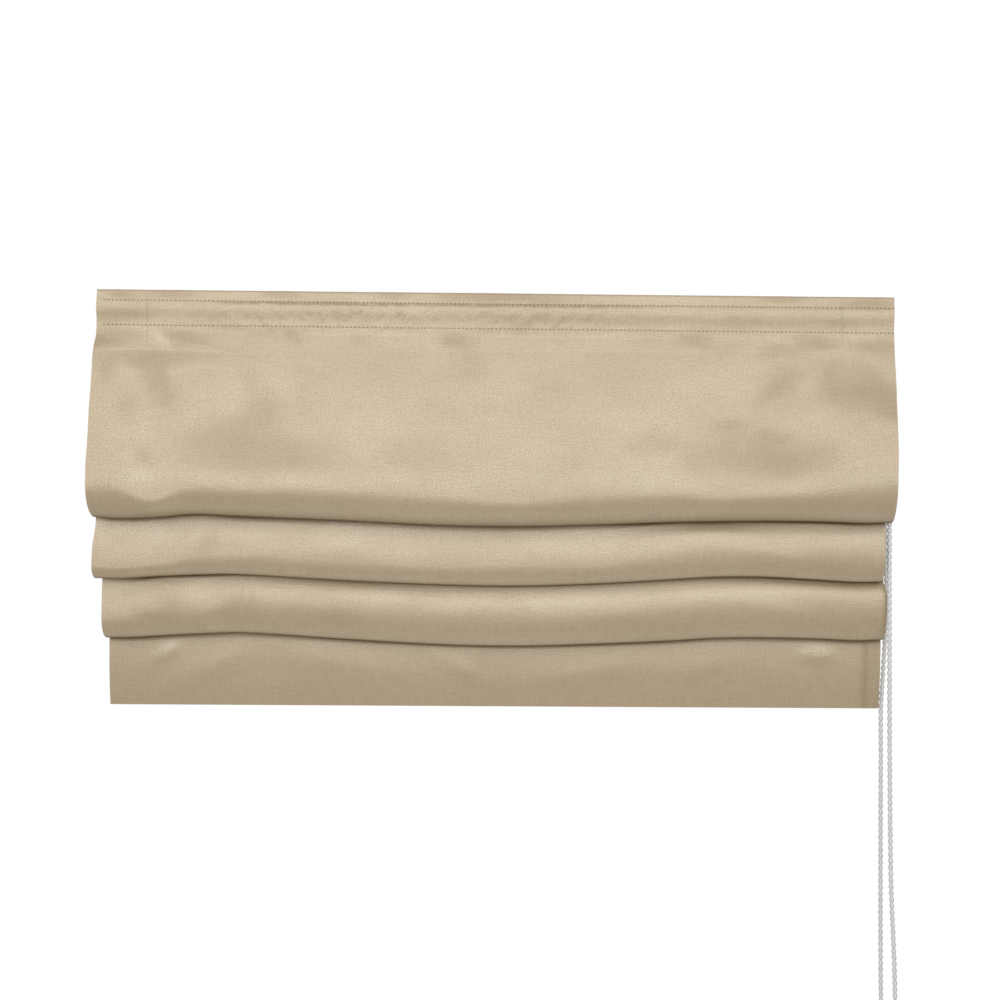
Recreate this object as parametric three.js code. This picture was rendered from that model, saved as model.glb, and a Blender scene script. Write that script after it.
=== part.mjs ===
// A roman shade, partly raised: one satin cloth on a head rail, with a bead chain at its right end.
// Millimetres. +Z is up, -Y faces the room, and the origin is the middle of the rail's wall face.
// A place is worked out as x, depth behind the heading's face, and drop below the cloth's top edge.
import * as THREE from 'three';

// The cloth's driving sizes
const CLOTH_WIDTH = 730;
const CLOTH_DROP = 385;
const CLOTH_THICKNESS = 1.2;
const HEM_THICKNESS = 1.8;
const HEADING_DROP = 33;
const SIDE_HEM = 47;
const BOTTOM_HEM = 28;
const HEM_STEP = 4;
const PIECE_GAP = 0.3;

// The rail's driving sizes
const RAIL_LEFT = -361;
const RAIL_RIGHT = 359;
const RAIL_HEIGHT = 45;
const RAIL_FRONT = HEM_THICKNESS + PIECE_GAP;
const WALL_DEPTH = 46.5;
const RAIL_CORNER = 3;
const END_CAP_THICKNESS = 2;
const END_CAP_INSET = 1;

// The chain's and the drive's driving sizes
const CHAIN_RADIUS = 2.25;
const CHAIN_SIDES = 10;
const STEPS_PER_SPAN = 2;
const WHEEL_X = 365;
const WHEEL_DEPTH = 26.5;
const WHEEL_DROP = 23;
const WHEEL_PITCH_RADIUS = 16;
const WHEEL_RIM_RADIUS = 17;
const WHEEL_HALF_THICKNESS = 2.8;
const WHEEL_SEGMENTS = 32;
const GROOVE_STEPS = 6;
const AXLE_RADIUS = 4;
const KEEPER_RADIUS = 8;
const KEEPER_THICKNESS = 1.5;
const BACKING_RADIUS = 20;

// Bezier handle that turns a corner into a quarter of an ellipse
const ROUND_HANDLE = 0.552;

// The front panel above the first fold's belly: lean is how fast the cloth comes forward as it drops
const FRONT_PANEL = [
  { depth: 0, drop: 0, lean: 0, steps: 2 },
  { depth: 0, drop: 44, lean: 0, steps: 3 },
  { depth: -6.6, drop: 64, lean: -0.26, steps: 3 },
  { depth: -10.8, drop: 92, lean: -0.15, steps: 3 },
  { depth: -16.6, drop: 130, lean: -0.1, steps: 4 },
];

// One row for each fold. The cloth comes down to the belly, round the bottom, up the back leg and
// over a tight turn, then down again past the same fold. Depths lie behind the heading's face, rises
// above the fold's bottom, and shift is the fold's slip to the side. Turns keep an even rise, so the
// cloth is as long at the sides as in the middle.
const FOLDS = [
  {
    name: 'fold1', belly: -20, bottomDepth: -3, back: 7.4, backRise: 24, leg: 4.5,
    turnRise: 91, nextLeg: 13, passRise: 10, shift: -0.7, turnShift: -3.5,
  },
  {
    name: 'fold2', belly: 4.4, bottomDepth: 14, back: 22, backRise: 16, leg: 19.5,
    turnRise: 126, nextLeg: 26, passRise: 10, shift: -5.1, turnShift: -2.5,
  },
  {
    name: 'fold3', belly: 15, bottomDepth: 25, back: 33, backRise: 18, leg: 30,
    turnRise: 162, nextLeg: 36, passRise: 10, shift: 0, turnShift: -0.3,
  },
];
const TURN_RADIUS = 2.2;
const HEM_EDGE = { depth: 38, drop: CLOTH_DROP, shift: -0.5 };

// One row for each place across the width: the drop of each fold's bottom, and how far the belly
// of each fold lies above it.
const STATIONS = [
  { x: -365, fold1: 210.5, rise1: 30, fold2: 264.5, rise2: 18, fold3: 321, rise3: 20 },
  { x: -342, fold1: 212, rise1: 33, fold2: 265, rise2: 18, fold3: 321, rise3: 24 },
  { x: -307, fold1: 209, rise1: 19, fold2: 262.6, rise2: 19, fold3: 318.8, rise3: 33 },
  { x: -272, fold1: 205, rise1: 28, fold2: 261, rise2: 22, fold3: 317, rise3: 32 },
  { x: -235, fold1: 206.3, rise1: 32, fold2: 260.3, rise2: 24, fold3: 316, rise3: 32 },
  { x: -140, fold1: 209.5, rise1: 31, fold2: 265, rise2: 24, fold3: 321.5, rise3: 36 },
  { x: -50, fold1: 213.2, rise1: 28, fold2: 268.4, rise2: 24, fold3: 326, rise3: 34 },
  { x: 25, fold1: 213.7, rise1: 24, fold2: 269.2, rise2: 26, fold3: 326.8, rise3: 33 },
  { x: 95, fold1: 211.6, rise1: 29, fold2: 266.8, rise2: 25, fold3: 324.4, rise3: 34 },
  { x: 165, fold1: 208.6, rise1: 29, fold2: 262.5, rise2: 32, fold3: 321, rise3: 35 },
  { x: 205, fold1: 207.6, rise1: 24, fold2: 259.8, rise2: 33, fold3: 318.3, rise3: 36 },
  { x: 250, fold1: 207, rise1: 29, fold2: 259.2, rise2: 28, fold3: 317.6, rise3: 37 },
  { x: 300, fold1: 207.2, rise1: 33, fold2: 261.4, rise2: 30, fold3: 318.3, rise3: 38 },
  { x: 340, fold1: 208.3, rise1: 41, fold2: 263.5, rise2: 33, fold3: 319.8, rise3: 38 },
  { x: 365, fold1: 207.5, rise1: 43, fold2: 263, rise2: 33, fold3: 318.5, rise3: 38 },
];

// Soft troughs pressed into the front panel: a middle, a half width, a half height and a depth.
const TROUGHS = [
  { x: -345, drop: 76, halfWidth: 32, halfHeight: 15, depth: 2 },
  { x: -309, drop: 88, halfWidth: 20, halfHeight: 20, depth: 2.8 },
  { x: -235, drop: 156, halfWidth: 44, halfHeight: 25, depth: 3.4 },
  { x: -72, drop: 160, halfWidth: 32, halfHeight: 16, depth: 1.2 },
  { x: 169, drop: 159, halfWidth: 40, halfHeight: 18, depth: 2.4 },
  { x: 262, drop: 159, halfWidth: 38, halfHeight: 20, depth: 3.6 },
  { x: 260, drop: 95, halfWidth: 28, halfHeight: 14, depth: 2 },
  { x: 341, drop: 108, halfWidth: 30, halfHeight: 20, depth: 4 },
];

// The chain's route, down in front of the wheel and up behind it, from a point just before the
// wheel's top to a point just after it.
const CHAIN_ROUTE = [
  { x: 365, depth: 26.1, drop: 7 },
  { x: 365, depth: 20, drop: 8.4 },
  { x: 365, depth: 15, drop: 11.9 },
  { x: 365, depth: 11.7, drop: 17 },
  { x: 365, depth: 10.5, drop: 23 },
  { x: 365, depth: 10.5, drop: 60 },
  { x: 365.1, depth: 10.5, drop: 130 },
  { x: 365.4, depth: 10.5, drop: 210 },
  { x: 366, depth: 10.5, drop: 290 },
  { x: 366.8, depth: 10.5, drop: 380 },
  { x: 367.8, depth: 10.5, drop: 460 },
  { x: 369.6, depth: 10.7, drop: 545 },
  { x: 373.4, depth: 11.2, drop: 620 },
  { x: 375.2, depth: 12.8, drop: 680 },
  { x: 374.8, depth: 15.4, drop: 730 },
  { x: 374, depth: 18.6, drop: 738 },
  { x: 372.6, depth: 26.4, drop: 741.4 },
  { x: 371.2, depth: 34.2, drop: 738 },
  { x: 370.4, depth: 37.4, drop: 730 },
  { x: 369.8, depth: 40, drop: 680 },
  { x: 369.2, depth: 41.8, drop: 610 },
  { x: 368.7, depth: 42.5, drop: 520 },
  { x: 368.3, depth: 42.5, drop: 440 },
  { x: 368, depth: 42.5, drop: 385 },
  { x: 369.8, depth: 42.5, drop: 350 },
  { x: 371.5, depth: 42.5, drop: 310 },
  { x: 371.6, depth: 42.5, drop: 240 },
  { x: 369, depth: 42.5, drop: 150 },
  { x: 366, depth: 42.5, drop: 75 },
  { x: 365, depth: 42.5, drop: 23 },
  { x: 365, depth: 41.3, drop: 17 },
  { x: 365, depth: 38, drop: 11.9 },
  { x: 365, depth: 33, drop: 8.4 },
  { x: 365, depth: 26.9, drop: 7 },
];

// Places and small helpers
function place(x, depth, drop) {
  return new THREE.Vector3(x, depth - WALL_DEPTH, RAIL_HEIGHT / 2 - drop);
}

function smoothStep(low, high, value) {
  return THREE.MathUtils.smoothstep(value, low, high);
}

// Reads one column of the stations at x, on a smooth curve through the rows
function stationValue(column, x) {
  const last = STATIONS.length - 1;
  let row = 0;
  while (row < last - 1 && x > STATIONS[row + 1].x) {
    row += 1;
  }
  const slopeAt = (index) => {
    const before = STATIONS[Math.max(index - 1, 0)];
    const after = STATIONS[Math.min(index + 1, last)];
    return (after[column] - before[column]) / (after.x - before.x);
  };
  const start = STATIONS[row];
  const end = STATIONS[row + 1];
  const span = end.x - start.x;
  const t = THREE.MathUtils.clamp((x - start.x) / span, 0, 1);
  const t2 = t * t;
  const t3 = t2 * t;
  const fromStart = (2 * t3 - 3 * t2 + 1) * start[column] + (t3 - 2 * t2 + t) * span * slopeAt(row);
  const fromEnd = (3 * t2 - 2 * t3) * end[column] + (t3 - t2) * span * slopeAt(row + 1);
  return fromStart + fromEnd;
}

// How far the troughs press the front panel back at a place
function troughDepth(x, drop) {
  let depth = 0;
  for (const trough of TROUGHS) {
    const across = (x - trough.x) / trough.halfWidth;
    const down = (drop - trough.drop) / trough.halfHeight;
    depth += trough.depth * Math.exp(-(across * across + down * down));
  }
  return depth * smoothStep(50, 70, drop) * (1 - smoothStep(158, 178, drop));
}

// The cloth's section at x as a list of knots, each with the way the cloth runs there, the steps
// that lead on to the next knot, and the slip to the side.
function sectionKnots(x) {
  const down = new THREE.Vector2(0, 1);
  const up = new THREE.Vector2(0, -1);
  const back = new THREE.Vector2(1, 0);
  const knots = [];
  const add = (depth, drop, way, steps, shift) => {
    knots.push({ at: new THREE.Vector2(depth, drop), way, steps, shift });
  };
  for (const row of FRONT_PANEL) {
    const way = new THREE.Vector2(row.lean, 1).normalize();
    add(row.depth, row.drop, way, row.steps, 0);
  }
  FOLDS.forEach((fold, index) => {
    const bottom = stationValue(fold.name, x);
    const rise = stationValue(`rise${index + 1}`, x);
    const turnTop = bottom - fold.turnRise;
    const turnEnd = turnTop + TURN_RADIUS;
    add(fold.belly, bottom - rise, down, 5, fold.shift);
    add(fold.bottomDepth, bottom, back, 5, fold.shift);
    add(fold.back, bottom - fold.backRise, up, 3, fold.shift);
    add(fold.leg, turnEnd, up, 2, fold.turnShift);
    add(fold.leg + TURN_RADIUS, turnTop, back, 2, fold.turnShift);
    add(fold.leg + 2 * TURN_RADIUS, turnEnd, down, 3, fold.turnShift);
    add(fold.nextLeg, bottom - fold.passRise, down, 4, fold.turnShift);
  });
  add(HEM_EDGE.depth, HEM_EDGE.drop, down, 0, HEM_EDGE.shift);
  return knots;
}

// The section as points, each with the cloth's normal towards its back and its slip to the side.
// Only the front panel bears troughs.
function sectionPoints(x) {
  const knots = sectionKnots(x);
  const points = [];
  knots.slice(0, -1).forEach((knot, index) => {
    const next = knots[index + 1];
    const chord = next.at.clone().sub(knot.at);
    const leave = Math.abs(chord.dot(knot.way)) * ROUND_HANDLE;
    const arrive = Math.abs(chord.dot(next.way)) * ROUND_HANDLE;
    const curve = new THREE.CubicBezierCurve(
      knot.at,
      knot.at.clone().addScaledVector(knot.way, leave),
      next.at.clone().addScaledVector(next.way, -arrive),
      next.at,
    );
    const isLast = index === knots.length - 2;
    const count = isLast ? knot.steps + 1 : knot.steps;
    for (let step = 0; step < count; step += 1) {
      const t = step / knot.steps;
      const at = curve.getPoint(t);
      const tangent = curve.getTangent(t);
      if (index < FRONT_PANEL.length) {
        at.x += troughDepth(x, at.y);
      }
      const shift = THREE.MathUtils.lerp(knot.shift, next.shift, smoothStep(0, 1, t));
      points.push({ at, normal: new THREE.Vector2(tangent.y, -tangent.x), shift });
    }
  });
  return points;
}

// The cloth is thicker where it is turned under, at the heading, the sides and the bottom
function clothThickness(x, travelled, length) {
  const heading = 1 - smoothStep(HEADING_DROP, HEADING_DROP + HEM_STEP, travelled);
  const side = smoothStep(CLOTH_WIDTH / 2 - SIDE_HEM - HEM_STEP, CLOTH_WIDTH / 2 - SIDE_HEM, Math.abs(x));
  const bottom = smoothStep(length - BOTTOM_HEM - HEM_STEP, length - BOTTOM_HEM, travelled);
  const turned = Math.max(heading, side, bottom);
  return THREE.MathUtils.lerp(CLOTH_THICKNESS, HEM_THICKNESS, turned);
}

// Columns of the cloth's mesh: close at the hems, even between them
function clothColumns() {
  const half = CLOTH_WIDTH / 2;
  const hemLine = half - SIDE_HEM;
  const middleColumns = 22;
  const columns = [-half, -half + 18];
  for (let index = 0; index <= middleColumns; index += 1) {
    columns.push(-hemLine + (2 * hemLine * index) / middleColumns);
  }
  columns.push(half - 18, half);
  return columns;
}

function materialFor(color, roughness, metalness) {
  return new THREE.MeshStandardMaterial({ color, roughness, metalness });
}

// The cloth: a face and a back over the same grid, closed along its four edges
function makeCloth() {
  const columns = clothColumns();
  const sections = columns.map((x) => sectionPoints(x));
  const rowCount = sections[0].length;
  const positions = [];
  const addSide = (isBack) => {
    sections.forEach((points, column) => {
      const x = columns[column];
      let length = 0;
      const travelled = points.map((point, index) => {
        length += index > 0 ? point.at.distanceTo(points[index - 1].at) : 0;
        return length;
      });
      points.forEach((point, index) => {
        const thickness = isBack ? clothThickness(x, travelled[index], length) : 0;
        const at = point.at.clone().addScaledVector(point.normal, thickness);
        positions.push(...place(x + point.shift, at.x, at.y).toArray());
      });
    });
  };
  addSide(false);
  addSide(true);

  const backStart = columns.length * rowCount;
  const face = (column, row) => column * rowCount + row;
  const rear = (column, row) => backStart + face(column, row);
  const triangles = [];
  const addQuad = (a, b, c, d) => {
    triangles.push(a, b, c, a, c, d);
  };
  for (let column = 0; column < columns.length - 1; column += 1) {
    for (let row = 0; row < rowCount - 1; row += 1) {
      addQuad(face(column, row), face(column, row + 1), face(column + 1, row + 1), face(column + 1, row));
      addQuad(rear(column, row), rear(column + 1, row), rear(column + 1, row + 1), rear(column, row + 1));
    }
    const end = rowCount - 1;
    addQuad(face(column, 0), face(column + 1, 0), rear(column + 1, 0), rear(column, 0));
    addQuad(face(column + 1, end), face(column, end), rear(column, end), rear(column + 1, end));
  }
  const right = columns.length - 1;
  for (let row = 0; row < rowCount - 1; row += 1) {
    addQuad(face(0, row + 1), face(0, row), rear(0, row), rear(0, row + 1));
    addQuad(face(right, row), face(right, row + 1), rear(right, row + 1), rear(right, row));
  }
  const geometry = new THREE.BufferGeometry();
  geometry.setAttribute('position', new THREE.Float32BufferAttribute(positions, 3));
  geometry.setIndex(triangles);
  geometry.computeVertexNormals();
  return geometry;
}

// A bar along X whose section is a rectangle of depth by height with round corners
function makeBar(left, right, inset) {
  const corner = RAIL_CORNER;
  const front = inset;
  const rear = WALL_DEPTH - RAIL_FRONT - inset;
  const low = -RAIL_HEIGHT + inset;
  const high = -inset;
  const outline = new THREE.Shape();
  outline.moveTo(front + corner, low);
  outline.absarc(rear - corner, low + corner, corner, -Math.PI / 2, 0, false);
  outline.absarc(rear - corner, high - corner, corner, 0, Math.PI / 2, false);
  outline.absarc(front + corner, high - corner, corner, Math.PI / 2, Math.PI, false);
  outline.absarc(front + corner, low + corner, corner, Math.PI, Math.PI * 1.5, false);
  const bar = new THREE.ExtrudeGeometry(outline, {
    depth: right - left,
    bevelEnabled: false,
    curveSegments: 3,
  });
  const alongX = new THREE.Matrix4().makeBasis(
    new THREE.Vector3(0, 1, 0),
    new THREE.Vector3(0, 0, 1),
    new THREE.Vector3(1, 0, 0),
  );
  bar.applyMatrix4(alongX);
  const start = place(left, RAIL_FRONT, 0);
  bar.translate(start.x, start.y, start.z);
  return bar;
}

// A turned piece about the wheel's axis, from a profile of radius and x
function makeTurned(profile) {
  const points = profile.map(([radius, x]) => new THREE.Vector2(radius, x));
  const turned = new THREE.LatheGeometry(points, WHEEL_SEGMENTS);
  turned.rotateZ(-Math.PI / 2);
  const centre = place(WHEEL_X, WHEEL_DEPTH, WHEEL_DROP);
  turned.translate(centre.x, centre.y, centre.z);
  return turned;
}

// The round backing plate, the axle and the keeper that holds the wheel on
function makeDrive() {
  const plateLeft = RAIL_RIGHT + PIECE_GAP - WHEEL_X;
  const plateRight = -WHEEL_HALF_THICKNESS - PIECE_GAP;
  const keeperLeft = WHEEL_HALF_THICKNESS + PIECE_GAP;
  const keeperRight = keeperLeft + KEEPER_THICKNESS;
  return makeTurned([
    [0, plateLeft],
    [BACKING_RADIUS, plateLeft],
    [BACKING_RADIUS, plateRight],
    [AXLE_RADIUS, plateRight],
    [AXLE_RADIUS, keeperLeft],
    [KEEPER_RADIUS, keeperLeft],
    [KEEPER_RADIUS, keeperRight],
    [0, keeperRight],
  ]);
}

// The wheel, with a round groove that the chain lies in
function makeWheel() {
  const bore = AXLE_RADIUS + PIECE_GAP;
  const grooveRadius = CHAIN_RADIUS + PIECE_GAP;
  const edgeAngle = Math.acos((WHEEL_RIM_RADIUS - WHEEL_PITCH_RADIUS) / grooveRadius);
  const profile = [
    [bore, -WHEEL_HALF_THICKNESS],
    [WHEEL_RIM_RADIUS, -WHEEL_HALF_THICKNESS],
  ];
  for (let step = 0; step <= GROOVE_STEPS; step += 1) {
    const angle = -edgeAngle - (2 * (Math.PI - edgeAngle) * step) / GROOVE_STEPS;
    profile.push([
      WHEEL_PITCH_RADIUS + grooveRadius * Math.cos(angle),
      grooveRadius * Math.sin(angle),
    ]);
  }
  profile.push(
    [WHEEL_RIM_RADIUS, WHEEL_HALF_THICKNESS],
    [bore, WHEEL_HALF_THICKNESS],
    [bore, -WHEEL_HALF_THICKNESS],
  );
  return makeTurned(profile);
}

// A smooth curve that is stepped by its points, so the steps crowd where the route bends
class PacedCurve extends THREE.CatmullRomCurve3 {
  getUtoTmapping(u) {
    return u;
  }
}

function makeChain() {
  const route = new PacedCurve(CHAIN_ROUTE.map((row) => place(row.x, row.depth, row.drop)));
  const corners = [];
  for (let side = 0; side < CHAIN_SIDES; side += 1) {
    const angle = (2 * Math.PI * side) / CHAIN_SIDES;
    corners.push(new THREE.Vector2(CHAIN_RADIUS * Math.cos(angle), CHAIN_RADIUS * Math.sin(angle)));
  }
  return new THREE.ExtrudeGeometry(new THREE.Shape(corners), {
    steps: (CHAIN_ROUTE.length - 1) * STEPS_PER_SPAN,
    extrudePath: route,
    bevelEnabled: false,
  });
}

// The shade, put together
const shade = new THREE.Group();

function addPiece(name, geometry, material) {
  const piece = new THREE.Mesh(geometry, material);
  piece.name = name;
  shade.add(piece);
}

const capRight = RAIL_LEFT - PIECE_GAP;
const satin = materialFor(0xd0bfa5, 0.45, 0);
const whiteMetal = materialFor(0xeeeeec, 0.4, 0.1);
const whitePlastic = materialFor(0xf2f2f0, 0.35, 0);
const clearPlastic = materialFor(0xf6f4f2, 0.2, 0);

addPiece('shade_cloth', makeCloth(), satin);
addPiece('head_rail', makeBar(RAIL_LEFT, RAIL_RIGHT, 0), whiteMetal);
addPiece('end_cap', makeBar(capRight - END_CAP_THICKNESS, capRight, END_CAP_INSET), whitePlastic);
addPiece('chain_drive', makeDrive(), whitePlastic.clone());
addPiece('chain_wheel', makeWheel(), whitePlastic.clone());
addPiece('bead_chain', makeChain(), clearPlastic);

export default shade;
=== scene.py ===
"""The roman shade's looks: its draped satin, two stitched rows, bead chain and hidden head rail."""

import math

import bpy
import numpy as np
from mathutils import Matrix, Vector


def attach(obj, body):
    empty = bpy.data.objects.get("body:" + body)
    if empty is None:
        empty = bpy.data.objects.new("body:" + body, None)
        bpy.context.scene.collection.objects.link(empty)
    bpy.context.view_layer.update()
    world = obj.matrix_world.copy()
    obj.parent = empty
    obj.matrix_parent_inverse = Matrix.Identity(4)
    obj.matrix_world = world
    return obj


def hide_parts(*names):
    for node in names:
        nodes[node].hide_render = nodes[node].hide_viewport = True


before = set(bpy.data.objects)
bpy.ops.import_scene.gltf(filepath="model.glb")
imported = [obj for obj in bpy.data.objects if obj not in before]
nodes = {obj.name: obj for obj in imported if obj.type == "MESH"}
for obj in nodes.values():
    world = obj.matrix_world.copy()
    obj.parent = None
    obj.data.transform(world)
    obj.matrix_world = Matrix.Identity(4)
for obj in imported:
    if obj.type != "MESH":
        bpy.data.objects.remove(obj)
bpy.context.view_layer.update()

MM = 0.001

# The camera, fitted to the photo: its place in metres, its turn to the right and its roll in degrees
CAMERA_PLACE = (0.0668, -1.0465, -0.1668)
CAMERA_YAW = 0.7475
CAMERA_ROLL = 0.4621
CAMERA_LENS = 39.245
CAMERA_SENSOR = 36
CAMERA_SHIFT = (-0.083, 0.00067)

# The cloth's sizes, in millimetres. HEM_STEP is how far it takes to get thicker at a hem.
CLOTH_WIDTH = 730
CLOTH_DROP = 385.5
CLOTH_THICKNESS = 1.2
HEM_THICKNESS = 1.8
HEADING_DROP = 33
SIDE_HEM = 47
BOTTOM_HEM = 28
HEM_STEP = 4
TURN_RADIUS = 2.2

# The rail's height, and how far the wall lies behind the heading's face
RAIL_HEIGHT = 45
WALL_DEPTH = 46.5

# How long a Bezier handle is along its chord for a round quarter turn
ROUND_HANDLE = 0.552

# Rows of the mesh: belly to bottom, bottom to back, each hidden stretch up and over the turn, down
# from the turn to where the cloth comes out, from there to the next belly, and down the last panel
BELLY_STEPS = 18
BOTTOM_STEPS = 8
HIDDEN_STEPS = 3
TURN_STEPS = 4
PASS_STEPS = 12
PANEL_STEPS = 24

# Columns of the mesh: where a stretch ends and how many it has. Both sides are finer.
COLUMNS = [
    dict(end=-180, count=60),
    dict(end=160, count=66),
    dict(end=CLOTH_WIDTH / 2, count=59),
]

# The front panel above the first fold's belly: depth, drop, lean and rows of the mesh
FRONT_PANEL = [
    dict(depth=0, drop=0, lean=0, steps=24),
    dict(depth=0, drop=34, lean=0, steps=12),
    dict(depth=-1.6, drop=46, lean=-0.19, steps=12),
    dict(depth=-5.9, drop=66, lean=-0.21, steps=12),
    dict(depth=-11.2, drop=92, lean=-0.18, steps=18),
    dict(depth=-16.7, drop=128, lean=-0.1, steps=24),
]

# One row for each fold, with depths behind the heading's face and rises above the fold's bottom.
# Its shade scale, the key after the name, scales the painted shade just inside the fold's bottom and
# just below it.
FOLDS = [
    dict(
        name="fold1", shade_scale=1.3, belly=-20, bottom_depth=1, back=7.4, back_rise=6, leg=4.5,
        turn_rise=91, next_leg=10, pass_rise=8, shift=-0.7, turn_shift=-3.5,
    ),
    dict(
        name="fold2", shade_scale=0.9, belly=4.4, bottom_depth=14.2, back=19.6, back_rise=5.5, leg=16.5,
        turn_rise=126, next_leg=22, pass_rise=8, shift=-5.1, turn_shift=-2.5,
    ),
    dict(
        name="fold3", shade_scale=1.2, belly=15, bottom_depth=27.4, back=31.4, back_rise=5, leg=27,
        turn_rise=162, next_leg=34, pass_rise=8, shift=0, turn_shift=-0.3,
    ),
]
HEM_EDGE = dict(depth=38, drop=CLOTH_DROP, shift=-0.5)
HEM_WAY = (0.09, 0.996)

# One row for each place across the width: the drop of each fold's bottom, and its belly's rise
STATIONS = [
    dict(x=-365, fold1=207.8, rise1=30, fold2=264.5, rise2=12, fold3=321, rise3=20),
    dict(x=-342, fold1=209.4, rise1=33, fold2=265, rise2=11.5, fold3=321, rise3=22),
    dict(x=-307, fold1=208, rise1=17, fold2=262.6, rise2=12, fold3=318.8, rise3=29),
    dict(x=-272, fold1=205, rise1=28, fold2=261, rise2=17, fold3=317, rise3=27),
    dict(x=-235, fold1=206.3, rise1=32, fold2=260.3, rise2=19.5, fold3=316, rise3=29.5),
    dict(x=-140, fold1=209.5, rise1=31, fold2=265, rise2=18.5, fold3=321.5, rise3=33.5),
    dict(x=-50, fold1=213.2, rise1=28, fold2=268.4, rise2=18, fold3=326, rise3=32.5),
    dict(x=25, fold1=213.7, rise1=24, fold2=269.2, rise2=20, fold3=326.8, rise3=32),
    dict(x=95, fold1=211.6, rise1=29, fold2=266.8, rise2=18.5, fold3=324.4, rise3=32.5),
    dict(x=165, fold1=208.6, rise1=29, fold2=262.5, rise2=26.5, fold3=321, rise3=34),
    dict(x=205, fold1=207.6, rise1=24, fold2=259.8, rise2=29, fold3=318.3, rise3=36),
    dict(x=250, fold1=207, rise1=29, fold2=259.2, rise2=25, fold3=317.6, rise3=37),
    dict(x=300, fold1=207.2, rise1=33, fold2=261.4, rise2=26, fold3=318.3, rise3=38),
    dict(x=340, fold1=208.3, rise1=41, fold2=263.5, rise2=28, fold3=319.8, rise3=38),
    dict(x=365, fold1=207.5, rise1=43, fold2=263, rise2=28, fold3=318.5, rise3=38),
]

# Places where the cloth leans back as it drops: x, drop, half width, half height and slope, and a
# turn in degrees where there is one. Below the swells the cloth is back in line, and below the
# dents it comes forward again slowly.
SWELLS = [
    dict(x=-343, drop=4, wide=13, high=3.2, slope=0.18),
    dict(x=-294, drop=4, wide=20, high=3, slope=0.16),
    dict(x=-195, drop=4, wide=17, high=3, slope=0.16),
    dict(x=-95, drop=4, wide=15, high=3, slope=0.16),
    dict(x=0, drop=4.5, wide=50, high=3.4, slope=0.20),
    dict(x=265, drop=3.6, wide=20, high=2.6, slope=0.18),
    dict(x=343, drop=5, wide=25, high=3.4, slope=0.19),
    dict(x=-344, drop=42.5, wide=24, high=5.5, slope=0.24),
    dict(x=-283, drop=45, wide=22, high=4.5, turn=6, slope=0.25),
    dict(x=-188, drop=42, wide=9, high=5.5, turn=38, slope=0.20),
    dict(x=-125, drop=46, wide=18, high=4.6, slope=0.16),
    dict(x=-43, drop=44, wide=18, high=6, slope=0.24),
    dict(x=182, drop=42, wide=18, high=5, turn=8, slope=0.24),
    dict(x=208, drop=52.4, wide=14, high=2.7, slope=0.22),
    dict(x=260, drop=52.4, wide=17, high=2.7, slope=0.24),
    dict(x=296, drop=44.4, wide=22, high=6, turn=8, slope=0.28),
    dict(x=346, drop=45, wide=26, high=6, slope=0.25),
]
DENTS = [
    dict(x=-345, drop=69, wide=30, high=9, slope=0.18),
    dict(x=-302, drop=70, wide=24, high=9, slope=0.18),
    dict(x=-306, drop=88, wide=14, high=9, slope=0.17),
    dict(x=-267, drop=64, wide=20, high=6, slope=0.13),
    dict(x=-333, drop=104, wide=10, high=7.2, slope=0.08),
    dict(x=-313, drop=151, wide=10, high=7.2, slope=0.06),
    dict(x=-231, drop=141, wide=40, high=16, slope=0.10),
    dict(x=-212, drop=106, wide=17, high=18, slope=0.10),
    dict(x=-165, drop=155, wide=34, high=9, slope=0.05),
    dict(x=-72, drop=148, wide=29, high=10, slope=0.05),
    dict(x=-20, drop=69, wide=18, high=6, slope=0.10),
    dict(x=-168, drop=80, wide=16, high=5, slope=0.06),
    dict(x=310, drop=66, wide=16, high=9, slope=0.18),
    dict(x=344, drop=88, wide=29, high=13, turn=8, slope=0.18),
    dict(x=255, drop=83.4, wide=32, high=9, turn=-38, slope=0.16),
    dict(x=213, drop=120, wide=22, high=7, slope=0.11),
    dict(x=176, drop=140, wide=36, high=11, slope=0.07),
    dict(x=140, drop=134, wide=24, high=9, slope=0.04),
    dict(x=256, drop=149, wide=40, high=14, slope=0.13),
    dict(x=257, drop=129, wide=20, high=4, slope=0.08),
    dict(x=56, drop=82, wide=20, high=7, slope=0.07),
]

# How deep and how sudden every slope of the two tables is
SLOPE_GAIN = 1.15
SLOPE_SHARPNESS = 1.7

# The dents fade out above the first fold's bottom, between these drops
DENTS_END = (165, 190)

# The low ridge between the two stitched rows, which is higher at the left
RIDGE = dict(drop=15.5, above=8, below=8.5, height=1.5, wave=0.25, wave_length=41)
RIDGE_LEFT = dict(height=0.4, end=(-330, -310))

# The left side stands further out below the heading: where that starts and where it ends
SIDE_BULGE = dict(out=3.8, reach=30, start=(38, 56), end=(60, 128))
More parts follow.
